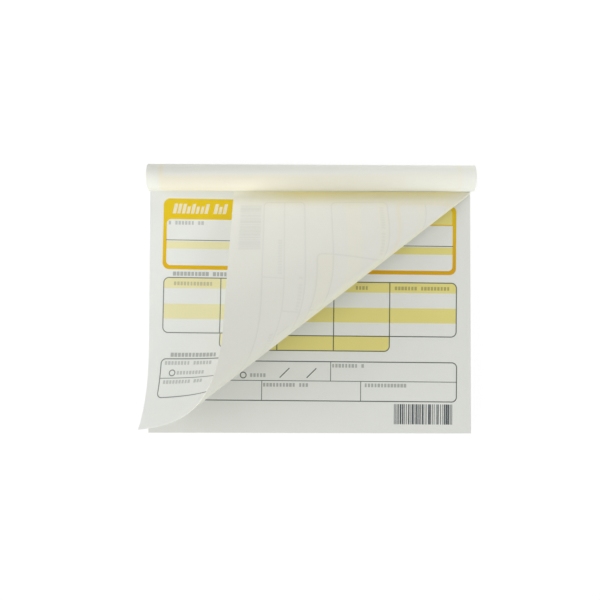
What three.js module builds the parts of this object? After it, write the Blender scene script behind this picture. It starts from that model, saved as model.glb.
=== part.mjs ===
// A glued pad of cheque request forms. Its first form is rolled up along the head, its second form is
// curled over, and the rest lie flat on a backing board. Millimetres: X runs along the glued head,
// Y towards the head, Z up from the middle of the board's underside.
import * as THREE from "three";

const FORM_WIDTH = 139.7;
const FORM_LENGTH = 108;
const PAPER_THICKNESS = 0.1;
const FORM_COUNT = 50;
const LOOSE_FLAT_FORMS = 6; // the flat forms at the top that have come free of the glue film

const BOARD_THICKNESS = 0.8;
const GLUE_FILM = 0.25;

const ROLL_RADIUS = 5.95; // outside of the rolled form
const ROLL_SETBACK = 2.05; // how far its axis lies beyond the head edge
const ROLL_SHIFT = 0.4; // how far the first form lies to the right of the others
const ROLL_PITCH = 0.5; // from one turn of the roll to the next
const ROLL_CLEARANCE = 0.3; // above the form under it
const ROLL_STEPS_PER_TURN = 24;

// The second form is bent to a cone. Its tip lies on the line of the head edge, beyond the right edge.
// Sweeps are angles on the flat form, seen from the tip and counted from the head edge.
const TIP_OVERHANG = 5.06;
const BEND_START = THREE.MathUtils.degToRad(23); // the form lies flat up to here
const BEND_END = THREE.MathUtils.degToRad(65.3); // and is plain again, turned over, beyond here
const BEND_SHARPNESS = [0, 4.05, 4.9, 7.75, 6.67, 6.63, 4.71, 0]; // bend for each radian of sweep, at equal steps
const CURL_STEPS = 56;
const BEND_SUBSTEPS = 8;

const PAPER_COLOUR = 0xe6e8e2;
const BOARD_COLOUR = 0x9a9184;
const GLUE_COLOUR = 0xdfe0da;

const headEdge = FORM_LENGTH / 2;
const rightEdge = FORM_WIDTH / 2;
const curledForm = 2;
const firstFlatForm = curledForm + 1;
const firstGluedForm = firstFlatForm + LOOSE_FLAT_FORMS;

// Height of the underside of a form, counted from the top of the pad.
function undersideOf(form) {
  return BOARD_THICKNESS + (FORM_COUNT - form) * PAPER_THICKNESS;
}

const gluedTop = undersideOf(firstGluedForm) + PAPER_THICKNESS;
const curledUnderside = undersideOf(curledForm);

function material(name, color, roughness) {
  return new THREE.MeshStandardMaterial({ name, color, roughness, metalness: 0 });
}

function piece(name, geometry, surface) {
  const mesh = new THREE.Mesh(geometry, surface);
  mesh.name = name;
  return mesh;
}

function twoDigits(number) {
  return String(number).padStart(2, "0");
}

// A flat block over the pad's outline.
function slab(thickness, underside) {
  const block = new THREE.BoxGeometry(FORM_WIDTH, FORM_LENGTH, thickness);
  return block.translate(0, 0, underside + thickness / 2);
}

function backingBoard() {
  return piece("backing_board", slab(BOARD_THICKNESS, 0), material("board", BOARD_COLOUR, 0.9));
}

// The film of padding glue that holds the board and the glued forms along the head.
function headGlue() {
  const film = new THREE.BoxGeometry(FORM_WIDTH, GLUE_FILM, gluedTop);
  film.translate(0, headEdge + GLUE_FILM / 2, gluedTop / 2);
  return piece("head_glue", film, material("glue", GLUE_COLOUR, 0.5));
}

function flatForm(form) {
  const sheet = slab(PAPER_THICKNESS, undersideOf(form));
  return piece("form_" + twoDigits(form), sheet, material("paper", PAPER_COLOUR, 0.8));
}

// A spiral in the YZ plane. It starts at the head edge, turns up towards the foot and winds inwards.
function rollCurve() {
  const startRadius = ROLL_RADIUS - PAPER_THICKNESS / 2;
  const startHeight = curledUnderside + PAPER_THICKNESS * 1.5 + ROLL_CLEARANCE;
  const drop = Math.sqrt(startRadius ** 2 - ROLL_SETBACK ** 2);
  const axis = new THREE.Vector2(headEdge + ROLL_SETBACK, startHeight + drop);
  const startAngle = Math.atan2(-drop, -ROLL_SETBACK);
  const inwardsPerRadian = ROLL_PITCH / (2 * Math.PI);
  // The length wound up after an angle w is r w - k w^2 / 2, which is solved here for the whole form.
  const rootTerm = Math.sqrt(startRadius ** 2 - 2 * inwardsPerRadian * FORM_LENGTH);
  const windAngle = (startRadius - rootTerm) / inwardsPerRadian;
  const steps = Math.ceil((windAngle / (2 * Math.PI)) * ROLL_STEPS_PER_TURN);
  const at = (step, offset) => {
    const wound = (windAngle * step) / steps;
    const radius = startRadius - inwardsPerRadian * wound + offset;
    const angle = startAngle - wound;
    return new THREE.Vector2(axis.x + radius * Math.cos(angle), axis.y + radius * Math.sin(angle));
  };
  return { steps, at };
}

function rolledForm() {
  const { steps, at } = rollCurve();
  const outline = [];
  for (let step = 0; step <= steps; step++) outline.push(at(step, PAPER_THICKNESS / 2));
  for (let step = steps; step >= 0; step--) outline.push(at(step, -PAPER_THICKNESS / 2));
  const roll = new THREE.ExtrudeGeometry(new THREE.Shape(outline), {
    depth: FORM_WIDTH,
    bevelEnabled: false,
    steps: 1,
  });
  const alongHead = new THREE.Matrix4().makeBasis(
    new THREE.Vector3(0, 1, 0),
    new THREE.Vector3(0, 0, 1),
    new THREE.Vector3(1, 0, 0),
  );
  roll.applyMatrix4(alongHead);
  roll.translate(ROLL_SHIFT - rightEdge, 0, 0);
  return piece("form_01_rolled", roll, material("paper", PAPER_COLOUR, 0.8));
}

// How sharply the form bends at a sweep.
function sharpnessAt(sweep) {
  const place = ((sweep - BEND_START) / (BEND_END - BEND_START)) * (BEND_SHARPNESS.length - 1);
  if (place <= 0 || place >= BEND_SHARPNESS.length - 1) return 0;
  const below = Math.floor(place);
  return THREE.MathUtils.lerp(BEND_SHARPNESS[below], BEND_SHARPNESS[below + 1], place - below);
}

// The directions of the bent form's straight lines, as seen from the cone's tip, at rising sweeps. In the
// local frame X runs left along the head, Y towards the foot and Z up.
function curlDirections(sweeps) {
  const direction = new THREE.Vector3(1, 0, 0);
  const normal = new THREE.Vector3(0, 0, 1);
  let reached = 0;
  return sweeps.map((sweep) => {
    const step = (sweep - reached) / BEND_SUBSTEPS;
    for (let i = 0; i < BEND_SUBSTEPS; i++) {
      const axis = normal.clone().addScaledVector(direction, sharpnessAt(reached + (i + 0.5) * step));
      const turn = axis.length() * step;
      axis.normalize();
      direction.applyAxisAngle(axis, turn);
      normal.applyAxisAngle(axis, turn);
    }
    reached = sweep;
    return { direction: direction.clone(), normal: normal.clone() };
  });
}

// Where a line from the tip enters and leaves the form, as distances from the tip.
function lineAcrossForm(sweep) {
  const enters = TIP_OVERHANG / Math.cos(sweep);
  const toLeftEdge = (FORM_WIDTH + TIP_OVERHANG) / Math.cos(sweep);
  const toFootEdge = FORM_LENGTH / Math.max(Math.sin(sweep), 1e-9);
  return [enters, Math.min(toLeftEdge, toFootEdge)];
}

function curlSweeps() {
  const footLeft = Math.atan2(FORM_LENGTH, FORM_WIDTH + TIP_OVERHANG);
  const footRight = Math.atan2(FORM_LENGTH, TIP_OVERHANG);
  const sweeps = [0, footLeft, footRight];
  for (let step = 0; step <= CURL_STEPS; step++) {
    sweeps.push(BEND_START + ((BEND_END - BEND_START) * step) / CURL_STEPS);
  }
  return sweeps.filter((sweep) => sweep <= footRight).sort((a, b) => a - b);
}

function curledFormGeometry() {
  const sweeps = curlSweeps();
  const lines = curlDirections(sweeps);
  const middle = curledUnderside + PAPER_THICKNESS / 2;
  const toPad = (local) =>
    new THREE.Vector3(rightEdge + TIP_OVERHANG - local.x, headEdge - local.y, middle + local.z);
  // Each row holds the near and far end of one straight line, first on top and then underneath.
  const rows = lines.map(({ direction, normal }, i) => {
    const lift = normal.multiplyScalar(PAPER_THICKNESS / 2);
    const [near, far] = lineAcrossForm(sweeps[i]).map((d) => direction.clone().multiplyScalar(d));
    return [near.clone().add(lift), far.clone().add(lift), near.sub(lift), far.sub(lift)].map(toPad);
  });

  const positions = [];
  const face = (a, b, c, d) => {
    for (const corner of [a, b, c, a, c, d]) positions.push(corner.x, corner.y, corner.z);
  };
  for (let i = 0; i + 1 < rows.length; i++) {
    const [topNear, topFar, lowNear, lowFar] = rows[i];
    const [nextTopNear, nextTopFar, nextLowNear, nextLowFar] = rows[i + 1];
    face(topNear, topFar, nextTopFar, nextTopNear);
    face(lowNear, nextLowNear, nextLowFar, lowFar);
    face(topFar, lowFar, nextLowFar, nextTopFar);
    face(topNear, nextTopNear, nextLowNear, lowNear);
  }
  const [firstTopNear, firstTopFar, firstLowNear, firstLowFar] = rows[0];
  face(firstTopNear, firstLowNear, firstLowFar, firstTopFar);
  const [lastTopNear, lastTopFar, lastLowNear, lastLowFar] = rows[rows.length - 1];
  face(lastTopNear, lastTopFar, lastLowFar, lastLowNear);

  const geometry = new THREE.BufferGeometry();
  geometry.setAttribute("position", new THREE.Float32BufferAttribute(positions, 3));
  geometry.computeVertexNormals();
  return geometry;
}

function curledSheet() {
  return piece("form_02_curled", curledFormGeometry(), material("paper", PAPER_COLOUR, 0.8));
}

const pad = new THREE.Group();
pad.name = "cheque_request_pad";
pad.add(backingBoard(), headGlue(), rolledForm(), curledSheet());
for (let form = firstFlatForm; form <= FORM_COUNT; form++) pad.add(flatForm(form));

export default pad;
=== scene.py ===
"""The looks of a head-glued pad of cheque request forms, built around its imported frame.

The first form is rolled up along the head, the second is curled over from its lower right corner, and the
rest lie flat on a grey board. Lengths are in metres, except on the printed sheet, whose own coordinates are
millimetres: x from the left edge and v from the head edge.
"""

import math
import random

import bpy
from mathutils import Matrix, Vector


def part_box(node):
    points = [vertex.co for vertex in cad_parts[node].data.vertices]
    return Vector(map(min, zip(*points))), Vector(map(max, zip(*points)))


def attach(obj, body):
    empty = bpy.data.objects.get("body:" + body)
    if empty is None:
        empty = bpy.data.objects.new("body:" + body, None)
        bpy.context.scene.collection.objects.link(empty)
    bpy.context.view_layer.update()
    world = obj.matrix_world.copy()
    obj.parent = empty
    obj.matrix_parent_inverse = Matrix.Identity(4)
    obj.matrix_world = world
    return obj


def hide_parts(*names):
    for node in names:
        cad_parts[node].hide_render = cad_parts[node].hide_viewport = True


MM = 0.001

# The sheet. The slack of the cut is in metres, and the slip of the print on it in millimetres.
PAPER = 0.1 * MM
AIR_BETWEEN = 0.004 * MM
CUT_SLACK = 0.18 * MM
PRINT_SLIP = 0.15
FLAT_GRID = (0.0, 0.25, 0.5, 0.75, 1.0)
FIRST_FLAT_FORM = 3
FIRST_GLUED_FORM = 9
LAST_FORM = 50
STACKING_SEED = 20

# The roll along the head
ROLL_RADIUS = 5.93 * MM
ROLL_SETBACK = 2.05 * MM
ROLL_PITCH = 0.5 * MM
ROLL_CLEARANCE = 0.12 * MM
ROLL_TAPER = 0.033
ROLL_TELESCOPE = -0.08 * MM
ROLL_STEPS_PER_TURN = 72
ROLL_LENGTH_STEPS = 40

# The bend of the second form, a cone whose tip lies on the line of the head edge. Sweeps are angles on the
# flat form, seen from the tip and counted from the head edge.
TIP_OVERHANG = 5.06 * MM
BEND_START = math.radians(23)
BEND_END = math.radians(65.3)
BEND_SHARPNESS = (0, 4.05, 4.9, 7.75, 6.67, 6.63, 4.71, 0)
BEND_SUBSTEPS = 4
CURL_STEPS = 170
CURL_FLAT_STEPS = 10
CURL_FLAP_STEPS = 52
CURL_LINE_STEPS = 48
# Beside the roll, the edge of the turned-over part is pushed up against it
PUSHED_WIDTH = 3.6 * MM
PUSH = Vector((0, 0.42, 0.7)) * MM
PUSHED_SWEEPS = (math.radians(52), math.radians(64))
PUSHED_REACHES = (6 * MM, 17 * MM)
# Near its tip it is drawn towards the roll
TIP_PUSH = Vector((0.3, 0.65, -0.25)) * MM
TIP_PUSHED_SWEEPS = (math.radians(40), math.radians(50))
TIP_PUSH_RISES = (5.5 * MM, 8 * MM)
TIP_PUSH_FADES = (9 * MM, 20 * MM)

# Paper as matter
PAPER_TRANSLUCENCY = 0.15
PAPER_ROUGHNESS = 0.85
PAPER_GLOSS = 0.25
BACK_IN_THROUGH_LIGHT = 0.4
FIBRE_NOISE = (2.6, 5.0, 0.62)
FIBRE_BUMP = 0.25
FIBRE_DEPTH = 0.02 * MM
CLOUD_NOISE = (0.09, 2.0, 0.5)
TONE_RANGE = 0.03

# The camera of the photograph, from the middle of the pad's top
CAMERA_FROM_TOP = Vector((-4.88, -5.93, 322.5)) * MM
CAMERA_TILT = math.radians(-1.694)
CAMERA_PAN = math.radians(0.092)
CAMERA_ROLL = math.radians(-0.16)
FOCAL_PIXELS = 741.5
PICTURE_PIXELS = 600
SENSOR_MM = 36.0
CLIP_START = 0.01
CLIP_END = 20

# The light: an even surround, and lamps mostly low on the left. A lamp is given by its angle round the pad,
# anticlockwise from +X, its rise over the floor, both in degrees, its distance in metres and its watts.
SURROUND = 0.44
FLOOR_SIZE = 6
FLOOR_GREY = 0.86
FLOOR_WHITE = 1.04
FLOOR_WHITENESS = 0.9
LAMP_SPREAD = 0.53
LAMPS = {
    "left": (180, 22, 1.2, 6.2),
    "left_front": (225, 22, 1.6, 18.6),
    "right_behind": (45, 22, 0.55, 1.15),
    "right": (0, 22, 0.65, 0.6),
    "right_front": (300, 12, 0.75, 0.5),
}

# Colours as the eye reads them, 0 to 255
PAPER_BACK = (237, 237, 229)
# The roll's back is painted a little lighter than the other backs of the same paper, as painted light
ROLL_BACK_PAINTED_LIGHT = (240, 241, 232)
PAPER_EDGE = (240, 240, 234)
# The flat forms and the curled form have shaded and lit copies of one paper and its inks: the flat forms'
# tones are painted darker, as painted shade
FLAT_TONES_PAINTED_SHADE = {
    "paper": (225, 227, 221),
    "pale_yellow": (224, 214, 132),
    "gold_top": (221, 186, 4),
    "gold_foot": (211, 161, 6),
    "ink": (56, 66, 58),
    "label_ink": 0.85,
}
# The curled form's copy, every tone painted lighter than the flat forms', as painted light
CURLED_TONES_PAINTED_LIGHT = {
    "paper": (244, 246, 242),
    "pale_yellow": (246, 240, 190),
    "gold_top": (243, 210, 32),
    "gold_foot": (237, 191, 6),
    "ink": (112, 118, 112),
    "label_ink": 0.7,
}
BAR_INK = (44, 55, 64)
TITLE_PALE = (250, 246, 226)
# Painted light: the yellow put in the valley beside the roll
VALLEY_PAINTED_LIGHT = (252, 238, 158)
# A painted highlight: the pale rim along the fold
RIM_PAINTED_HIGHLIGHT = (252, 253, 226)
PAPER_EDGE_SHADE = (222, 221, 211)
BOARD_GREY = (150, 141, 127)
BOARD_FLECK = (96, 90, 82)
GLUE_WHITE = (226, 226, 216)
GLUE_SHADE = (214, 213, 200)

# How much of the paper the inks cover, on the front and as they show through, and how crisp the print is
INK_STRENGTH = 0.94
BAR_STRENGTH = 0.95
TITLE_STRENGTH = 0.85
HEADING_STRENGTH = 0.85
LABEL_STRENGTH = 0.6
FRONT_SHARPNESS = 11.0
INK_THROUGH = 0.09
BARS_THROUGH = 1.1

# Painted light on the back of the turned-over part, standing for light that comes through it, by the place
# (x, v) on its print. It is painted yellow in the valley beside the roll, and fades there towards both
# ends.
VALLEY = (128.5, 139.7)
VALLEY_FALLOFF = 1.9
VALLEY_RISES = (110.0, 80.0)
VALLEY_FADES = (2.0, 18.0)
# A painted highlight makes it pale in a rim along the fold, between sweeps, and the rim grows towards the
# roll
RIM_RISES = (math.radians(41.5), math.radians(43))
RIM_FADES = (math.radians(43.5), math.radians(49))
RIM_PLACES = (50.0, 85.0)
RIM_LEAST = 0.2
# Painted light and shade: the colour is painted darker away from the free corner and lighter towards it
TOWARDS_CORNER = (0.35, 0.25, 0.0)
CORNER_LIGHT_PLACES = (44.0, 70.0)
CORNER_PAINTED_LIGHT = (0.94, 1.14)

# The printed layout, in millimetres from the sheet's left and head edges: (left, top, right, bottom)
GOLD_FRAME = (4.95, 8.5, 133.25, 38.85)
GOLD_BORDER = 1.55
GOLD_BOTTOM_BORDER = 1.75
GOLD_RADIUS = 2.9
GOLD_INNER_RADIUS = 1.9
TITLE_BOTTOM = 17.35
NUMBER_BOX = (109.2, 10.3, 131.5, 16.8)
NUMBER_BOX_RADIUS = 1.3
NUMBER_RULE = (109.2, 16.8, 132.0, 17.35)
TABLE = (5.7, 42.4, 133.5, 65.9)
TABLE_RADIUS = 2.3
HEADER_BOTTOM = 46.9
TOTALS = (30.8, 60.0, 104.5, 72.4)
COLUMNS = (30.5, 55.65, 80.2, 104.5)
ORDERS = (5.6, 77.1, 133.8, 94.1)
ORDERS_RADIUS = 2.1
RULE = 0.42
PALE_BANDS = (
    (6.3, 26.8, 132.0, 30.0),
    (5.85, 53.55, 133.3, 60.0),
)
THIN_RULES = (
    (6.3, 26.13, 132.0, 26.47),
    (79.0, 77.1, 79.3, 85.5),
    (49.2, 85.5, 49.5, 94.1),
    (92.1, 85.5, 92.4, 94.1),
    (5.6, 85.35, 133.8, 85.65),
)
TICK_CIRCLES = ((10.9, 83.2), (41.25, 83.2))
TICK_RADIUS = 1.25
DATE_SLASHES = ((59.15, 82.1), (70.85, 82.1))
SLASH_REACH = 2.95
# The gold frame turns darker over these v, and yellow shows through the back by a share that changes over x
GOLD_FADE = (14.0, 36.0)
YELLOW_PLACES = (45.0, 110.0)
# Words are stood in for by rows of plain blocks: (left, top, number of blocks)
BLOCK_UNEVENNESS = (0.8, 1.15)
LOW_BLOCKS = 0.55
LABEL_PITCH = 1.42
LABEL_HEIGHT = 1.6
LABEL_FILL = 0.7
LABELS = (
    (7.7, 18.1, 1),
    (10.1, 18.1, 6),
    (20.2, 18.1, 2),
    (9.3, 44.1, 12),
    (37.8, 44.1, 8),
    (62.5, 44.1, 7),
    (89.6, 44.1, 4),
    (105.9, 44.1, 6),
    (115.6, 44.1, 1),
    (118.0, 44.1, 9),
    (7.3, 78.1, 8),
    (20.0, 78.1, 6),
    (13.2, 82.4, 9),
    (43.4, 82.4, 5),
    (79.8, 78.0, 8),
    (92.3, 78.0, 1),
    (7.8, 86.4, 9),
    (21.2, 86.4, 3),
    (49.6, 86.5, 10),
    (65.3, 86.5, 3),
    (93.1, 86.4, 5),
    (101.5, 86.4, 8),
)
HEADING_PITCH = 1.58
HEADING_HEIGHT = 1.75
HEADING_FILL = 0.78
HEADINGS = (
    (9.4, 39.85, 10),
    (26.1, 39.85, 8),
    (10.2, 74.5, 13),
)
TITLE_PITCH = 1.98
TITLE_HEIGHT = 3.1
TITLE_RISE = 1.15
TITLE_FILL = 0.68
TITLE_SLANT = 0.22
TITLE_WORDS = ((8.5, 11.8, 8), (26.9, 11.8, 3), (35.2, 11.8, 6))
BARS = (106.8, 95.2, 132.0, 103.9)
BAR_MODULE = 0.27
BAR_PITCH = 0.86
BAR_WIDTHS = (0.2, 0.8)
BAR_PLACES = (0.28, 0.72)
BAR_SHUFFLE = 13.0
# How the print sits on the sheets
TURN_AT_HEAD = math.radians(0.6)
TURN_AT_FOOT = math.radians(0.3)
CURLED_SHIFT = (-0.35, 1.6)
CURLED_STRETCH = 0.016
CURLED_TURN = math.radians(0.2)
ROLLED_SHIFT = (0.0, 1.2)

# The cut edges, the board and the glue. A noise is given by its scale, detail and roughness.
EDGE_NOISE = (2500.0, 3.0)
EDGE_ROUGHNESS = 0.9
EDGE_GLOSS = 0.2
BOARD_STEPS = (14, 11, 2)
BOARD_WEAR = 0.12 * MM
BOARD_STRETCH = (1.0, 3.0, 3.0)
BOARD_FIBRES = (1400.0, 6.0, 0.7)
BOARD_FLECKS = (900.0, 4.0, 0.8)
BOARD_FLECK_PEAKS = (0.6, 0.72)
BOARD_FLECK_SHARE = 0.5
BOARD_CLOUD = (45.0, 3.0)
BOARD_CLOUD_SHARE = 0.3
BOARD_DARK = 0.86
BOARD_PALE = 1.12
BOARD_BUMP = 0.5
BOARD_ROUGHNESS = 0.92
GLUE_STEPS = (120, 2, 8)
GLUE_SEED = 7
GLUE_WAVES = 8
GLUE_WAVE_RATES = (200, 1500)
GLUE_WAVE_PHASES = (0, 6.28)
GLUE_WAVE_SIZES = (0.2, 1.0)
GLUE_WAVE_HEIGHT = 0.025 * MM
GLUE_SLANT = 900
GLUE_STRETCH = (60.0, 900.0, 900.0)
GLUE_STREAKS = (1.0, 4.0, 0.6)
GLUE_STREAK_RANGE = (0.2, 0.8)
GLUE_BUMP = 0.6
GLUE_ROUGHNESS = (0.3, 0.5)
MATTER_BUMP_DEPTH = 0.05 * MM


def linear(colour):
    """An 0 to 255 colour as the linear value that a shader takes."""

    def channel(value):
        value /= 255
        return value / 12.92 if value <= 0.04045 else ((value + 0.055) / 1.055) ** 2.4

    return (*(channel(value) for value in colour), 1.0)


# Node building


class Graph:
    """Adds nodes to a tree by plain calls. A value is a number or another node's output."""

    def __init__(self, tree):
        self.tree = tree

    def node(self, kind, **settings):
        made = self.tree.nodes.new(kind)
        for key, value in settings.items():
            setattr(made, key, value)
        return made

    def put(self, socket, value):
        if isinstance(value, bpy.types.NodeSocket):
            self.tree.links.new(value, socket)
        else:
            socket.default_value = value

    def math(self, operation, *values, clamp=False):
        made = self.node("ShaderNodeMath", operation=operation, use_clamp=clamp)
        for socket, value in zip(made.inputs, values):
            self.put(socket, value)
        return made.outputs[0]

    def vector(self, operation, *values):
        made = self.node("ShaderNodeVectorMath", operation=operation)
        for socket, value in zip(made.inputs, values):
            self.put(socket, value)
        return made.outputs["Value"] if operation in ("LENGTH", "DOT_PRODUCT") else made.outputs[0]

    def split(self, vector):
        made = self.node("ShaderNodeSeparateXYZ")
        self.put(made.inputs[0], vector)
        return made.outputs[0], made.outputs[1]

    def join(self, x, y, z=0.0):
        made = self.node("ShaderNodeCombineXYZ")
        for socket, value in zip(made.inputs, (x, y, z)):
            self.put(socket, value)
        return made.outputs[0]

    def mix(self, share, below, above):
        made = self.node("ShaderNodeMix", data_type="RGBA")
        self.put(made.inputs["Factor"], share)
        self.put(made.inputs["A"], below)
        self.put(made.inputs["B"], above)
        return made.outputs["Result"]

    def noise(self, vector, scale, detail=3.0, roughness=0.5):
        made = self.node("ShaderNodeTexNoise")
        self.put(made.inputs["Vector"], vector)
        self.put(made.inputs["Scale"], scale)
        self.put(made.inputs["Detail"], detail)
        self.put(made.inputs["Roughness"], roughness)
        return made.outputs[0]

    def ramp(self, value, low, high, start=0.0, end=1.0):
        made = self.node("ShaderNodeMapRange", clamp=True)
        for socket, number in zip(made.inputs, (value, low, high, start, end)):
            self.put(socket, number)
        return made.outputs[0]


# The print


class Print(Graph):
    """Masks of printed shapes at a place on the sheet, sharp or blurred."""

    def __init__(self, tree, place, sharpness):
        super().__init__(tree)
        self.place = place
        self.x, self.v = self.split(place)
        self.blur = self.math("MULTIPLY", sharpness, -1.0)

    def ink(self, distance):
        """1 where the distance to a shape is negative, 0 outside it, with the wanted blur."""
        return self.math("MULTIPLY_ADD", distance, self.blur, 0.5, clamp=True)

    def either(self, masks):
        masks = list(masks)
        whole = masks[0]
        for mask in masks[1:]:
            whole = self.math("MAXIMUM", whole, mask)
        return whole

    def both(self, a, b):
        return self.math("MULTIPLY", a, b)

    def without(self, a, b):
        return self.math("MULTIPLY", a, self.math("SUBTRACT", 1.0, b))

    def box_distance(self, box, radius=0.0, place=None):
        left, top, right, bottom = box
        middle = ((left + right) / 2, (top + bottom) / 2, 0.0)
        half = ((right - left) / 2 - radius, (bottom - top) / 2 - radius, 0.0)
        offset = self.vector("ABSOLUTE", self.vector("SUBTRACT", place or self.place, middle))
        beyond = self.vector("SUBTRACT", offset, half)
        across, down = self.split(beyond)
        inside = self.math("MAXIMUM", across, down)
        if not radius:
            return inside
        outside = self.vector("LENGTH", self.vector("MAXIMUM", beyond, (0.0, 0.0, 0.0)))
        rounded = self.math("ADD", outside, self.math("MINIMUM", inside, 0.0))
        return self.math("SUBTRACT", rounded, radius)

    def box(self, box, radius=0.0, place=None):
        return self.ink(self.box_distance(box, radius, place))

    def outline(self, box, radius, width):
        edge = self.math("ABSOLUTE", self.box_distance(box, radius))
        return self.ink(self.math("SUBTRACT", edge, width / 2))

    def ring(self, centre, radius, width):
        reach = self.vector("LENGTH", self.vector("SUBTRACT", self.place, (*centre, 0.0)))
        edge = self.math("ABSOLUTE", self.math("SUBTRACT", reach, radius))
        return self.ink(self.math("SUBTRACT", edge, width / 2))

    def slash(self, centre, reach, width):
        """A stroke that leans to the right, reach long each way from its middle."""
        offset = self.vector("SUBTRACT", self.place, (*centre, 0.0))
        lean = math.sqrt(0.5)
        across = self.math("ABSOLUTE", self.vector("DOT_PRODUCT", offset, (lean, lean, 0.0)))
        along = self.math("ABSOLUTE", self.vector("DOT_PRODUCT", offset, (lean, -lean, 0.0)))
        beside = self.math("SUBTRACT", across, width / 2)
        beyond = self.math("SUBTRACT", along, reach)
        return self.ink(self.math("MAXIMUM", beside, beyond))

    def cells(self, along, pitch):
        """A number for each cell along a line, and a steady chance value for it."""
        cell = self.math("DIVIDE", along, pitch)
        chance = self.node("ShaderNodeTexWhiteNoise", noise_dimensions="1D")
        self.put(chance.inputs["W"], self.math("FLOOR", cell))
        return self.math("FRACT", cell), chance.outputs["Value"]

    def blocks(self, words, pitch, height, fill, slant=0.0, rise=0.0):
        """Rows of plain blocks, of uneven width, that stand in for words. With a slant they lean, and with
        a rise some stand taller."""
        along = self.math("MULTIPLY_ADD", self.v, slant, self.x)
        within, chance = self.cells(along, pitch)
        width = self.ramp(chance, 0.0, 1.0, *(fill * part for part in BLOCK_UNEVENNESS))
        off_middle = self.math("ABSOLUTE", self.math("SUBTRACT", within, 0.5))
        beside = self.math("SUBTRACT", off_middle, self.math("MULTIPLY", width, 0.5))
        strokes = self.ink(self.math("MULTIPLY", beside, pitch))
        leaned = self.join(along, self.v)
        lines = []
        for left, top, count in words:
            start = round((left + slant * top) / pitch) * pitch
            word = (start, top - rise, start + count * pitch, top + height)
            lines.append(self.box(word, place=leaned))
            if rise:
                low = self.math("LESS_THAN", chance, LOW_BLOCKS)
                above = self.ink(self.math("SUBTRACT", self.v, top))
                lines[-1] = self.without(lines[-1], self.both(above, low))
        return self.both(self.either(lines), strokes)

    def bars(self, box, module):
        """Upright bars of uneven width that hold no number."""
        left, top, right, bottom = box
        within, chance = self.cells(self.x, BAR_PITCH)
        other_chance = self.math("FRACT", self.math("MULTIPLY", chance, BAR_SHUFFLE))
        middle = self.ramp(other_chance, 0.0, 1.0, *BAR_PLACES)
        off_middle = self.math("ABSOLUTE", self.math("SUBTRACT", within, middle))
        half_width = self.math("MULTIPLY", self.ramp(chance, 0.0, 1.0, *BAR_WIDTHS), 0.5)
        dark = self.ink(self.math("SUBTRACT", self.math("MULTIPLY", off_middle, BAR_PITCH), half_width))
        guards = self.either(
            self.box((x, top, x + module, bottom))
            for x in (left, left + 2 * module, right - module, right - 3 * module)
        )
        inner = self.box((left + 4 * module, top, right - 4 * module, bottom))
        return self.either([guards, self.both(inner, dark)])


def number_box(p):
    """A box whose two upper corners are rounded."""
    left, _, right, bottom = NUMBER_BOX
    lower = (left, bottom - 2 * NUMBER_BOX_RADIUS, right, bottom)
    return p.either([p.box(NUMBER_BOX, NUMBER_BOX_RADIUS), p.box(lower)])


def pale_mask(p):
    header = p.both(p.box(TABLE, TABLE_RADIUS), p.ink(p.math("SUBTRACT", p.v, HEADER_BOTTOM)))
    totals = p.both(p.box(TOTALS, TABLE_RADIUS), p.ink(p.math("SUBTRACT", TABLE[3], p.v)))
    bands = [p.box(band) for band in PALE_BANDS]
    return p.either([header, totals, *bands, number_box(p)])


def gold_mask(p):
    left, _, right, bottom = GOLD_FRAME
    window = (left + GOLD_BORDER, TITLE_BOTTOM, right - GOLD_BORDER, bottom - GOLD_BOTTOM_BORDER)
    square_corner = (NUMBER_BOX[0], TITLE_BOTTOM, window[2], TITLE_BOTTOM + 2 * GOLD_INNER_RADIUS)
    opening = p.either([p.box(window, GOLD_INNER_RADIUS), p.box(square_corner)])
    body = p.without(p.box(GOLD_FRAME, GOLD_RADIUS), opening)
    body = p.without(body, number_box(p))
    return p.either([body, p.box(NUMBER_RULE)])


def rule_mask(p):
    table = p.outline(TABLE, TABLE_RADIUS, RULE)
    below = p.ink(p.math("SUBTRACT", TABLE[3], p.v))
    totals = p.both(p.outline(TOTALS, TABLE_RADIUS, RULE), below)
    half = RULE / 2
    columns = [p.box((x - half, TABLE[1], x + half, TABLE[3])) for x in COLUMNS]
    columns += [p.box((x - half, TABLE[3], x + half, TOTALS[3])) for x in COLUMNS[1:-1]]
    rules = [p.box(box) for box in THIN_RULES]
    orders = p.outline(ORDERS, ORDERS_RADIUS, RULE)
    circles = [p.ring(centre, TICK_RADIUS, RULE) for centre in TICK_CIRCLES]
    slashes = [p.slash(centre, SLASH_REACH, RULE) for centre in DATE_SLASHES]
    return p.either([table, totals, orders, *columns, *rules, *circles, *slashes])


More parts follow.
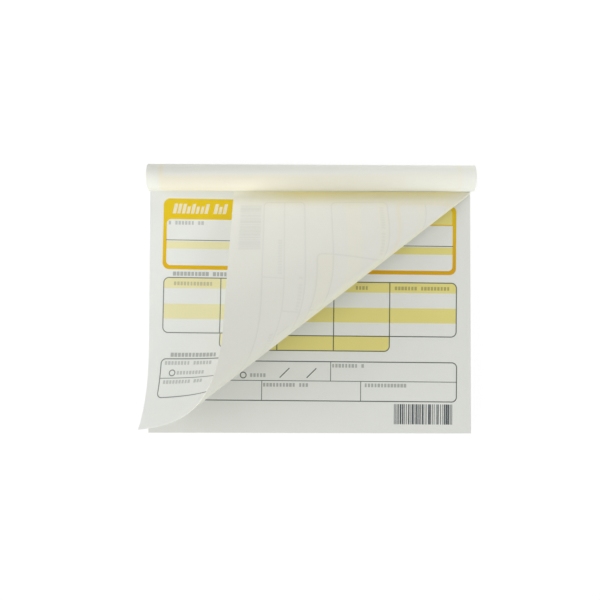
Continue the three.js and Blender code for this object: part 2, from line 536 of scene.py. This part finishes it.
def print_group():
    """A node group that gives the print's masks at a place on the sheet."""
    tree = bpy.data.node_groups.new("form_print", "ShaderNodeTree")
    face = tree.interface
    face.new_socket("Place", in_out="INPUT", socket_type="NodeSocketVector")
    face.new_socket("Sharpness", in_out="INPUT", socket_type="NodeSocketFloat")
    for name in ("Pale", "Gold", "Rules", "Words", "Title", "Bars"):
        face.new_socket(name, in_out="OUTPUT", socket_type="NodeSocketFloat")
    given = tree.nodes.new("NodeGroupInput")
    p = Print(tree, given.outputs["Place"], given.outputs["Sharpness"])
    labels = p.blocks(LABELS, LABEL_PITCH, LABEL_HEIGHT, LABEL_FILL)
    headings = p.blocks(HEADINGS, HEADING_PITCH, HEADING_HEIGHT, HEADING_FILL)
    masks = {
        "Pale": pale_mask(p),
        "Gold": gold_mask(p),
        "Rules": rule_mask(p),
        "Words": p.either([p.both(labels, LABEL_STRENGTH), p.both(headings, HEADING_STRENGTH)]),
        "Title": p.blocks(TITLE_WORDS, TITLE_PITCH, TITLE_HEIGHT, TITLE_FILL, TITLE_SLANT, TITLE_RISE),
        "Bars": p.bars(BARS, BAR_MODULE),
    }
    result = tree.nodes.new("NodeGroupOutput")
    for name, mask in masks.items():
        tree.links.new(mask, result.inputs[name])
    return tree


# Materials


def new_material(name):
    material = bpy.data.materials.new(name)
    material.use_nodes = True
    tree = material.node_tree
    tree.nodes.clear()
    graph = Graph(tree)
    shader = graph.node("ShaderNodeBsdfPrincipled")
    output = graph.node("ShaderNodeOutputMaterial")
    tree.links.new(shader.outputs[0], output.inputs["Surface"])
    return material, graph, shader


def finish_paper(graph, shader, colour, tone):
    """Sets the colour of thin paper, through which some of the light passes."""
    graph.put(shader.inputs["Base Color"], toned(graph, colour, tone))
    shader.inputs["Roughness"].default_value = PAPER_ROUGHNESS
    shader.inputs["Specular IOR Level"].default_value = PAPER_GLOSS
    through = graph.node("ShaderNodeBsdfTranslucent")
    graph.put(through.inputs["Color"], graph.mix(BACK_IN_THROUGH_LIGHT, colour, linear(PAPER_BACK)))
    mixed = graph.node("ShaderNodeMixShader")
    mixed.inputs[0].default_value = PAPER_TRANSLUCENCY
    graph.tree.links.new(shader.outputs[0], mixed.inputs[1])
    graph.tree.links.new(through.outputs[0], mixed.inputs[2])
    output = next(node for node in graph.tree.nodes if node.type == "OUTPUT_MATERIAL")
    graph.tree.links.new(mixed.outputs[0], output.inputs["Surface"])


def add_bump(graph, shader, height, strength, depth):
    bump = graph.node("ShaderNodeBump")
    graph.put(bump.inputs["Strength"], strength)
    graph.put(bump.inputs["Distance"], depth)
    graph.put(bump.inputs["Height"], height)
    graph.put(shader.inputs["Normal"], bump.outputs[0])


def paper_grain(graph, place, shader):
    """Fine fibre bump and a very slight unevenness of tone, by the place on the sheet in millimetres."""
    fibres = graph.noise(place, *FIBRE_NOISE)
    cloud = graph.noise(place, *CLOUD_NOISE)
    add_bump(graph, shader, fibres, FIBRE_BUMP, FIBRE_DEPTH)
    tone = graph.math("MULTIPLY", graph.math("ADD", fibres, cloud), TONE_RANGE)
    return graph.math("ADD", tone, 1 - TONE_RANGE)


def toned(graph, colour, tone):
    return graph.vector("MULTIPLY", colour, graph.join(tone, tone, tone))


def sheet_place(graph):
    coordinates = graph.node("ShaderNodeUVMap", uv_map="sheet")
    return coordinates.outputs[0]


def printed_masks(graph, place, group, sharpness):
    masks = graph.node("ShaderNodeGroup", node_tree=group)
    graph.put(masks.inputs["Place"], place)
    graph.put(masks.inputs["Sharpness"], sharpness)
    return masks.outputs


def paper_front(group, name, tones):
    material, graph, shader = new_material(name)
    place = sheet_place(graph)
    masks = printed_masks(graph, place, group, FRONT_SHARPNESS)
    _, v = graph.split(place)
    gold = graph.mix(graph.ramp(v, *GOLD_FADE), linear(tones["gold_top"]), linear(tones["gold_foot"]))
    colour = graph.mix(masks["Pale"], linear(tones["paper"]), linear(tones["pale_yellow"]))
    colour = graph.mix(masks["Gold"], colour, gold)
    colour = graph.mix(graph.math("MULTIPLY", masks["Title"], TITLE_STRENGTH), colour, linear(TITLE_PALE))
    ink = graph.math("MAXIMUM", masks["Rules"], graph.math("MULTIPLY", masks["Words"], tones["label_ink"]))
    colour = graph.mix(graph.math("MULTIPLY", ink, INK_STRENGTH), colour, linear(tones["ink"]))
    colour = graph.mix(graph.math("MULTIPLY", masks["Bars"], BAR_STRENGTH), colour, linear(BAR_INK))
    finish_paper(graph, shader, colour, paper_grain(graph, place, shader))
    return material


def with_painted_light(graph, place, colour, glow):
    """The colour of the turned-over part with painted light put into it by place, standing for light that
    comes through the sheet: yellow in the valley beside the roll, a painted highlight along the fold, and
    painted light and shade towards the free corner.
    """
    x, v = graph.split(place)
    # Painted light and shade, darker away from the free corner and lighter towards it
    towards_corner = graph.vector("DOT_PRODUCT", place, TOWARDS_CORNER)
    colour = toned(graph, colour, graph.ramp(towards_corner, *CORNER_LIGHT_PLACES, *CORNER_PAINTED_LIGHT))
    near_roll = graph.math("POWER", graph.ramp(x, *VALLEY), VALLEY_FALLOFF)
    along_roll = graph.math("MULTIPLY", graph.ramp(v, *VALLEY_RISES), graph.ramp(v, *VALLEY_FADES))
    # Painted light, yellow, in the valley beside the roll
    painted_valley_light = graph.math("MULTIPLY", graph.math("MULTIPLY", near_roll, along_roll), glow)
    colour = graph.mix(painted_valley_light, colour, linear(VALLEY_PAINTED_LIGHT))
    # A painted highlight in a rim along the fold, between sweeps
    from_tip = graph.math("SUBTRACT", (sheet_width + TIP_OVERHANG) / MM, x)
    sweep = graph.math("ARCTAN2", v, from_tip)
    rim = graph.math("MULTIPLY", graph.ramp(sweep, *RIM_RISES), graph.ramp(sweep, *RIM_FADES, 1.0, 0.0))
    rim = graph.math("MULTIPLY", rim, graph.ramp(x, *RIM_PLACES, RIM_LEAST, glow))
    return graph.mix(rim, colour, linear(RIM_PAINTED_HIGHLIGHT))


def paper_back(group, name, plain, yellow, sharpness, words, glow=0.0):
    """The unprinted side. The print shows through it faintly and blurred, its yellows by a share that is
    given for the left and the right. With a glow, painted light is added to its colour: yellow by the roll,
    a painted highlight along the fold, and painted light and shade towards the free corner."""
    material, graph, shader = new_material(name)
    place = sheet_place(graph)
    masks = printed_masks(graph, place, group, sharpness)
    x, _ = graph.split(place)
    share = graph.ramp(x, *YELLOW_PLACES, *yellow)
    pale_yellow, gold = linear(CURLED_TONES_PAINTED_LIGHT["pale_yellow"]), linear(CURLED_TONES_PAINTED_LIGHT["gold_top"])
    colour = graph.mix(graph.math("MULTIPLY", masks["Pale"], share), linear(plain), pale_yellow)
    colour = graph.mix(graph.math("MULTIPLY", masks["Gold"], share), colour, gold)
    ink = graph.math("MAXIMUM", masks["Rules"], graph.math("MULTIPLY", masks["Words"], words))
    ink = graph.math("MAXIMUM", ink, graph.math("MULTIPLY", masks["Bars"], BARS_THROUGH))
    colour = graph.mix(graph.math("MULTIPLY", ink, INK_THROUGH), colour, linear(FLAT_TONES_PAINTED_SHADE["ink"]))
    # With a glow, painted light is put into the colour of the turned-over part
    if glow:
        colour = with_painted_light(graph, place, colour, glow)
    finish_paper(graph, shader, colour, paper_grain(graph, place, shader))
    return material


def paper_edge():
    material, graph, shader = new_material("paper_edge")
    coordinates = graph.node("ShaderNodeTexCoord")
    grain = graph.noise(coordinates.outputs["Object"], *EDGE_NOISE)
    colour = graph.mix(grain, linear(PAPER_EDGE_SHADE), linear(PAPER_EDGE))
    graph.put(shader.inputs["Base Color"], colour)
    shader.inputs["Roughness"].default_value = EDGE_ROUGHNESS
    shader.inputs["Specular IOR Level"].default_value = EDGE_GLOSS
    return material


def grey_board():
    """Raw grey board, with flecks and short fibres."""
    material, graph, shader = new_material("grey_board")
    place = graph.node("ShaderNodeTexCoord").outputs["Object"]
    fibres = graph.noise(graph.vector("MULTIPLY", place, BOARD_STRETCH), *BOARD_FIBRES)
    flecks = graph.ramp(graph.noise(place, *BOARD_FLECKS), *BOARD_FLECK_PEAKS)
    cloud = graph.noise(place, *BOARD_CLOUD)
    dark = tuple(channel * BOARD_DARK for channel in BOARD_GREY)
    pale = tuple(channel * BOARD_PALE for channel in BOARD_GREY)
    colour = graph.mix(fibres, linear(dark), linear(pale))
    colour = graph.mix(graph.math("MULTIPLY", cloud, BOARD_CLOUD_SHARE), colour, linear(BOARD_GREY))
    colour = graph.mix(graph.math("MULTIPLY", flecks, BOARD_FLECK_SHARE), colour, linear(BOARD_FLECK))
    graph.put(shader.inputs["Base Color"], colour)
    add_bump(graph, shader, fibres, BOARD_BUMP, MATTER_BUMP_DEPTH)
    shader.inputs["Roughness"].default_value = BOARD_ROUGHNESS
    return material


def padding_glue():
    """Dried padding glue, brushed along the head."""
    material, graph, shader = new_material("padding_glue")
    place = graph.node("ShaderNodeTexCoord").outputs["Object"]
    streaks = graph.noise(graph.vector("MULTIPLY", place, GLUE_STRETCH), *GLUE_STREAKS)
    colour = graph.mix(streaks, linear(GLUE_SHADE), linear(GLUE_WHITE))
    graph.put(shader.inputs["Base Color"], colour)
    add_bump(graph, shader, streaks, GLUE_BUMP, MATTER_BUMP_DEPTH)
    graph.put(shader.inputs["Roughness"], graph.ramp(streaks, *GLUE_STREAK_RANGE, *GLUE_ROUGHNESS))
    return material


# Sheets


def sheet_mesh(name, rows, materials):
    """A closed thin sheet. Each row lists (point, normal, (x, v)) across the sheet, and the normal points
    out of the printed side. The three materials go on the printed side, the back and the cut edges."""
    across, count = len(rows[0]), len(rows)
    half = (PAPER - AIR_BETWEEN) / 2
    front, back, places = [], [], []
    for row in rows:
        for point, normal, place in row:
            front.append(point + normal * half)
            back.append(point - normal * half)
            places.append(place)
    total = len(front)
    faces, kinds = [], []

    def at(i, j):
        return i * across + j

    for i in range(count - 1):
        for j in range(across - 1):
            quad = (at(i, j), at(i + 1, j), at(i + 1, j + 1), at(i, j + 1))
            faces.append(quad)
            kinds.append(0)
            faces.append(tuple(total + k for k in reversed(quad)))
            kinds.append(1)
    rim = [at(0, j) for j in range(across)]
    rim += [at(i, across - 1) for i in range(1, count)]
    rim += [at(count - 1, j) for j in range(across - 2, -1, -1)]
    rim += [at(i, 0) for i in range(count - 2, 0, -1)]
    for here, there in zip(rim, rim[1:] + rim[:1]):
        faces.append((here, there, total + there, total + here))
        kinds.append(2)

    mesh = bpy.data.meshes.new(name)
    mesh.from_pydata([tuple(p) for p in front + back], [], faces)
    for material in materials:
        mesh.materials.append(material)
    mesh.polygons.foreach_set("material_index", kinds)
    mesh.polygons.foreach_set("use_smooth", [kind < 2 for kind in kinds])
    layer = mesh.uv_layers.new(name="sheet")
    both = places + places
    for loop in mesh.loops:
        layer.data[loop.index].uv = both[loop.vertex_index]
    mesh.update()
    mark_rim_sharp(mesh)
    piece = bpy.data.objects.new(name, mesh)
    bpy.context.scene.collection.objects.link(piece)
    return piece


def mark_rim_sharp(mesh):
    """The cut edges stay crisp, while the faces of the sheet shade smoothly."""
    kinds = {}
    for polygon in mesh.polygons:
        for key in polygon.edge_keys:
            kinds.setdefault(key, set()).add(polygon.material_index)
    for line in mesh.edges:
        line.use_edge_sharp = len(kinds[line.key]) > 1


def registered(x, v, shift=(0.0, 0.0), stretch=0.0, turn=0.0):
    """Where the print sits on a sheet: a little turned and shifted, as sheets are cut."""
    share = v / (sheet_length / MM)
    whole = turn + TURN_AT_HEAD + (TURN_AT_FOOT - TURN_AT_HEAD) * share
    down = (x - sheet_width / MM / 2) * math.tan(whole)
    side = (v - sheet_length / MM / 2) * math.tan(turn + TURN_AT_HEAD)
    return (x + side + shift[0], v - down + shift[1] - v * stretch)


def flat_form(form, draw):
    """A flat form, whose sides and foot are cut a hair out of line with its neighbours'."""
    low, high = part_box(f"form_{form:02d}")
    middle = (low.z + high.z) / 2
    left, right, foot = (draw.uniform(0.0, CUT_SLACK) for _ in range(3))
    shift = (draw.uniform(-PRINT_SLIP, PRINT_SLIP), draw.uniform(-PRINT_SLIP, PRINT_SLIP))
    if form == FIRST_FLAT_FORM:
        left = right = foot = 0.0
        shift = (0.0, 0.0)
    rows = []
    for down in FLAT_GRID:
        row = []
        for across in FLAT_GRID:
            inwards = left * (1 - across) - right * across
            x = low.x + across * sheet_width + inwards * down
            y = head_edge - down * (sheet_length - foot)
            place = registered(across * sheet_width / MM, down * sheet_length / MM, shift)
            row.append((Vector((x, y, middle)), Vector((0, 0, 1)), place))
        rows.append(row)
    return sheet_mesh(f"flat_form_{form:02d}", rows, (front, plain_back, edge))


def sharpness_at(sweep):
    """How sharply the form bends at a sweep, in radians for each radian of sweep."""
    place = (sweep - BEND_START) / (BEND_END - BEND_START) * (len(BEND_SHARPNESS) - 1)
    below = math.floor(place)
    if not 0 <= below < len(BEND_SHARPNESS) - 1:
        return 0.0
    return BEND_SHARPNESS[below] + (BEND_SHARPNESS[below + 1] - BEND_SHARPNESS[below]) * (place - below)


def curl_directions(sweeps):
    """The direction and normal of the bent form's straight lines, at rising sweeps. Seen from the tip, X
    runs left along the head, Y towards the foot and Z up."""
    direction, normal = Vector((1, 0, 0)), Vector((0, 0, 1))
    reached = 0.0
    lines = []
    for sweep in sweeps:
        step = (sweep - reached) / BEND_SUBSTEPS
        for i in range(BEND_SUBSTEPS):
            axis = normal + direction * sharpness_at(reached + (i + 0.5) * step)
            turn = Matrix.Rotation(axis.length * step, 3, axis)
            direction, normal = turn @ direction, turn @ normal
        reached = sweep
        lines.append((direction.copy(), normal.copy()))
    return lines


def curl_sweeps():
    foot_left = math.atan2(sheet_length, sheet_width + TIP_OVERHANG)
    foot_right = math.atan2(sheet_length, TIP_OVERHANG)
    flat = [BEND_START * i / CURL_FLAT_STEPS for i in range(CURL_FLAT_STEPS)]
    bent = [BEND_START + (BEND_END - BEND_START) * i / CURL_STEPS for i in range(CURL_STEPS + 1)]
    flap = [BEND_END + (foot_right - BEND_END) * i / CURL_FLAP_STEPS for i in range(1, CURL_FLAP_STEPS + 1)]
    return sorted(flat + bent + flap + [foot_left])


def eased(value, low, high):
    """Rises smoothly from 0 at low to 1 at high."""
    share = min(max((value - low) / (high - low), 0.0), 1.0)
    return share**2 * (3 - 2 * share)


def pushed(sweep, reach):
    """How far a point of the bent form is moved where the roll pushes against its turned-over edge."""
    from_edge = reach * math.cos(sweep) - TIP_OVERHANG
    if from_edge > PUSHED_WIDTH:
        return Vector((0, 0, 0))
    along = eased(reach, *PUSHED_REACHES) * eased(sweep, *PUSHED_SWEEPS)
    near_tip = eased(reach, *TIP_PUSH_RISES) * (1 - eased(reach, *TIP_PUSH_FADES))
    near_tip *= eased(sweep, *TIP_PUSHED_SWEEPS)
    return (PUSH * along + TIP_PUSH * near_tip) * (1 - from_edge / PUSHED_WIDTH) ** 2


def curled_form():
    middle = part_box("form_02_curled")[0].z + PAPER / 2
    sweeps = curl_sweeps()
    rows = []
    for sweep, (direction, normal) in zip(sweeps, curl_directions(sweeps)):
        enters = TIP_OVERHANG / math.cos(sweep)
        to_left = (sheet_width + TIP_OVERHANG) / math.cos(sweep)
        leaves = min(to_left, sheet_length / max(math.sin(sweep), 1e-9))
        row = []
        for step in range(CURL_LINE_STEPS + 1):
            reach = enters + (leaves - enters) * step / CURL_LINE_STEPS
            local = direction * reach
            point = Vector((right_edge + TIP_OVERHANG - local.x, head_edge - local.y, middle + local.z))
            point += pushed(sweep, reach)
            outward = Vector((-normal.x, -normal.y, normal.z))
            x = (sheet_width + TIP_OVERHANG - reach * math.cos(sweep)) / MM
            v = reach * math.sin(sweep) / MM
            row.append((point, outward, registered(x, v, CURLED_SHIFT, CURLED_STRETCH, CURLED_TURN)))
        rows.append(row)
    return sheet_mesh("curled_form", rows, (curled_front, curled_back, edge))


def rolled_form():
    """The first form, wound to a spiral with its back outwards. It is a little thicker at the left."""
    left_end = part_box("form_01_rolled")[0].x
    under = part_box("form_02_curled")[0].z
    start_radius = ROLL_RADIUS - PAPER / 2
    start_height = under + 1.5 * PAPER + ROLL_CLEARANCE
    drop = math.sqrt(start_radius**2 - ROLL_SETBACK**2)
    start_angle = math.atan2(-drop, -ROLL_SETBACK)
    inwards = ROLL_PITCH / (2 * math.pi)
    wind = (start_radius - math.sqrt(start_radius**2 - 2 * inwards * sheet_length)) / inwards
    steps = math.ceil(wind / (2 * math.pi) * ROLL_STEPS_PER_TURN)
    rows = []
    for i in range(steps + 1):
        wound = wind * i / steps
        radius = start_radius - inwards * wound
        length = start_radius * wound - inwards * wound**2 / 2
        angle = start_angle - wound
        row = []
        for j in range(ROLL_LENGTH_STEPS + 1):
            across = j / ROLL_LENGTH_STEPS
            size = 1 - ROLL_TAPER * across
            centre_y = head_edge + ROLL_SETBACK * size
            centre_z = start_height + drop * size
            slip = ROLL_TELESCOPE * wound / (2 * math.pi)
            x = left_end + across * sheet_width + slip
            outward = Vector((0, math.cos(angle), math.sin(angle)))
            point = Vector((x, centre_y, centre_z)) + outward * radius * size
            place = registered(across * sheet_width / MM, length / MM, ROLLED_SHIFT)
            row.append((point, -outward, place))
        rows.append(row)
    return sheet_mesh("rolled_form", rows, (front, rolled_back, edge))


# Board and glue


def soft_block(name, low, high, steps, bevel, material, wobble=None):
    """A closed block with fine faces and slightly worn edges. The wobble moves points of it a little."""
    nx, ny, nz = steps
    mesh = bpy.data.meshes.new(name)
    points, index = [], {}

    def corner(i, j, k):
        key = (i, j, k)
        if key not in index:
            share = (i / nx, j / ny, k / nz)
            index[key] = len(points)
            points.append(Vector(low[a] + (high[a] - low[a]) * share[a] for a in range(3)))
        return index[key]

    faces = []

    def face(*keys):
        faces.append(tuple(corner(*key) for key in keys))

    for i in range(nx):
        for j in range(ny):
            face((i, j, 0), (i, j + 1, 0), (i + 1, j + 1, 0), (i + 1, j, 0))
            face((i, j, nz), (i + 1, j, nz), (i + 1, j + 1, nz), (i, j + 1, nz))
        for k in range(nz):
            face((i, 0, k), (i + 1, 0, k), (i + 1, 0, k + 1), (i, 0, k + 1))
            face((i, ny, k), (i, ny, k + 1), (i + 1, ny, k + 1), (i + 1, ny, k))
    for j in range(ny):
        for k in range(nz):
            face((0, j, k), (0, j, k + 1), (0, j + 1, k + 1), (0, j + 1, k))
            face((nx, j, k), (nx, j + 1, k), (nx, j + 1, k + 1), (nx, j, k + 1))
    if wobble:
        points = [wobble(point) for point in points]
    mesh.from_pydata([tuple(p) for p in points], [], faces)
    mesh.materials.append(material)
    piece = bpy.data.objects.new(name, mesh)
    bpy.context.scene.collection.objects.link(piece)
    if bevel:
        worn = piece.modifiers.new("worn_edges", "BEVEL")
        worn.width = bevel
        worn.segments = 2
        worn.limit_method = "ANGLE"
    return piece


def backing_board():
    low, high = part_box("backing_board")
    return soft_block("grey_backing_board", low, high, BOARD_STEPS, BOARD_WEAR, grey_board())


def head_glue():
    """The glue film, of uneven thickness along the head."""
    low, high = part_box("head_glue")
    draw = random.Random(GLUE_SEED)
    kinds = (GLUE_WAVE_RATES, GLUE_WAVE_PHASES, GLUE_WAVE_SIZES)
    waves = [tuple(draw.uniform(*kind) for kind in kinds) for _ in range(GLUE_WAVES)]

    def wobble(point):
        if point.y < (low.y + high.y) / 2:
            return point
        slant = point.z * GLUE_SLANT
        height = sum(size * math.sin(rate * point.x + phase + slant) for rate, phase, size in waves)
        return point + Vector((0, GLUE_WAVE_HEIGHT * height, 0))

    return soft_block("head_glue_film", low, high, GLUE_STEPS, 0.0, padding_glue(), wobble)


# Camera, floor and light


def add_camera(top):
    camera = bpy.data.objects.new("photo_camera", bpy.data.cameras.new("photo_camera"))
    bpy.context.scene.collection.objects.link(camera)
    camera.data.sensor_width = SENSOR_MM
    camera.data.lens = FOCAL_PIXELS * SENSOR_MM / PICTURE_PIXELS
    turn = (
        Matrix.Rotation(CAMERA_ROLL, 3, "Z")
        @ Matrix.Rotation(CAMERA_PAN, 3, "Y")
        @ Matrix.Rotation(CAMERA_TILT, 3, "X")
    )
    place = CAMERA_FROM_TOP + Vector((0, 0, top))
    camera.matrix_world = Matrix.Translation(place) @ turn.transposed().to_4x4()
    camera.data.clip_start = CLIP_START
    camera.data.clip_end = CLIP_END
    bpy.context.scene.camera = camera


def seen_directly(graph):
    """1 for rays from the camera, and for those it sees by a reflection or through clear matter."""
    rays = graph.node("ShaderNodeLightPath").outputs
    mirrored = graph.math("MAXIMUM", rays["Is Camera Ray"], rays["Is Glossy Ray"])
    return graph.math("MAXIMUM", mirrored, rays["Is Transmission Ray"])


def add_floor():
    bpy.ops.mesh.primitive_plane_add(size=FLOOR_SIZE, location=(0, 0, -0.1 * MM))
    floor = bpy.context.object
    floor.name = "floor"
    material = bpy.data.materials.new("floor_white")
    material.use_nodes = True
    tree = material.node_tree
    tree.nodes.clear()
    graph = Graph(tree)
    plain = graph.node("ShaderNodeBsdfDiffuse")
    plain.inputs["Color"].default_value = (FLOOR_GREY, FLOOR_GREY, FLOOR_GREY, 1)
    glow = graph.node("ShaderNodeEmission")
    glow.inputs["Color"].default_value = (1, 1, 1, 1)
    glow.inputs["Strength"].default_value = FLOOR_WHITE
    mixed = graph.node("ShaderNodeMixShader")
    graph.put(mixed.inputs[0], graph.math("MULTIPLY", seen_directly(graph), FLOOR_WHITENESS))
    tree.links.new(plain.outputs[0], mixed.inputs[1])
    tree.links.new(glow.outputs[0], mixed.inputs[2])
    output = graph.node("ShaderNodeOutputMaterial")
    tree.links.new(mixed.outputs[0], output.inputs["Surface"])
    floor.data.materials.append(material)


def add_world():
    world = bpy.data.worlds.new("studio")
    bpy.context.scene.world = world
    world.use_nodes = True
    tree = world.node_tree
    tree.nodes.clear()
    graph = Graph(tree)
    ambient = graph.node("ShaderNodeBackground")
    ambient.inputs["Color"].default_value = (1, 1, 1, 1)
    ambient.inputs["Strength"].default_value = SURROUND
    white = graph.node("ShaderNodeBackground")
    white.inputs["Color"].default_value = (1, 1, 1, 1)
    white.inputs["Strength"].default_value = 1.0
    mixed = graph.node("ShaderNodeMixShader")
    graph.put(mixed.inputs[0], seen_directly(graph))
    tree.links.new(ambient.outputs[0], mixed.inputs[1])
    tree.links.new(white.outputs[0], mixed.inputs[2])
    output = graph.node("ShaderNodeOutputWorld")
    tree.links.new(mixed.outputs[0], output.inputs["Surface"])


def add_lamp(name, around, rise, distance, watts):
    data = bpy.data.lights.new(name, "AREA")
    data.shape = "SQUARE"
    data.size = LAMP_SPREAD * distance
    data.energy = watts
    lamp = bpy.data.objects.new(name, data)
    bpy.context.scene.collection.objects.link(lamp)
    level = math.cos(rise)
    place = distance * Vector((level * math.cos(around), level * math.sin(around), math.sin(rise)))
    lamp.location = place
    lamp.rotation_mode = "QUATERNION"
    lamp.rotation_quaternion = (-place).to_track_quat("-Z", "Y")


def add_light():
    add_world()
    for name, (around, rise, distance, watts) in LAMPS.items():
        add_lamp(name, math.radians(around), math.radians(rise), distance, watts)


# The assembly

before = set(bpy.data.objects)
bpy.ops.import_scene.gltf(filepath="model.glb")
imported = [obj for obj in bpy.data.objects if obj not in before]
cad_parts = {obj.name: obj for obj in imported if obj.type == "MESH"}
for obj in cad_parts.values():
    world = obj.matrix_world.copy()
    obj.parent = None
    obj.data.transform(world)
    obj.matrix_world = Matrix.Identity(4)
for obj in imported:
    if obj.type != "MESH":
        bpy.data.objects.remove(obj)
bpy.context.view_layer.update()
bpy.context.scene.view_settings.view_transform = "Standard"

third_low, third_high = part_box("form_03")
sheet_width = third_high.x - third_low.x
sheet_length = third_high.y - third_low.y
right_edge = third_high.x
head_edge = third_high.y

add_camera(third_high.z)
add_floor()
add_light()

form_print = print_group()
# The flat forms' fronts are painted darker and the curled form's lighter, as painted shade and painted
# light
front = paper_front(form_print, "printed_paper", FLAT_TONES_PAINTED_SHADE)
curled_front = paper_front(form_print, "curled_printed_paper", CURLED_TONES_PAINTED_LIGHT)
plain_back = paper_back(
    form_print, "paper_back", PAPER_BACK, yellow=(0.05, 0.05), sharpness=0.6, words=0.3
)
# The roll's back is painted a little lighter than the others, as painted light
rolled_back = paper_back(
    form_print, "rolled_paper_back", ROLL_BACK_PAINTED_LIGHT, yellow=(0.13, 0.05), sharpness=0.6, words=0.3
)
# The curled form's back carries painted light: yellow in the valley by the roll, a painted highlight along
# the fold, and painted light and shade towards the free corner
curled_back = paper_back(
    form_print, "curled_paper_back_painted_light", PAPER_BACK, yellow=(0.08, 0.08), sharpness=1.6, words=1.0, glow=0.85
)
edge = paper_edge()

board = backing_board()
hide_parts("backing_board")
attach(board, "pad")

glue = head_glue()
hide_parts("head_glue")
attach(glue, "pad")

stacking = random.Random(STACKING_SEED)
for number in range(LAST_FORM, FIRST_FLAT_FORM - 1, -1):
    node = f"form_{number:02d}"
    sheet = flat_form(number, stacking)
    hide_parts(node)
    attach(sheet, "pad" if number >= FIRST_GLUED_FORM else node)

curled = curled_form()
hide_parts("form_02_curled")
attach(curled, "curled_form")

rolled = rolled_form()
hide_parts("form_01_rolled")
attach(rolled, "rolled_form")
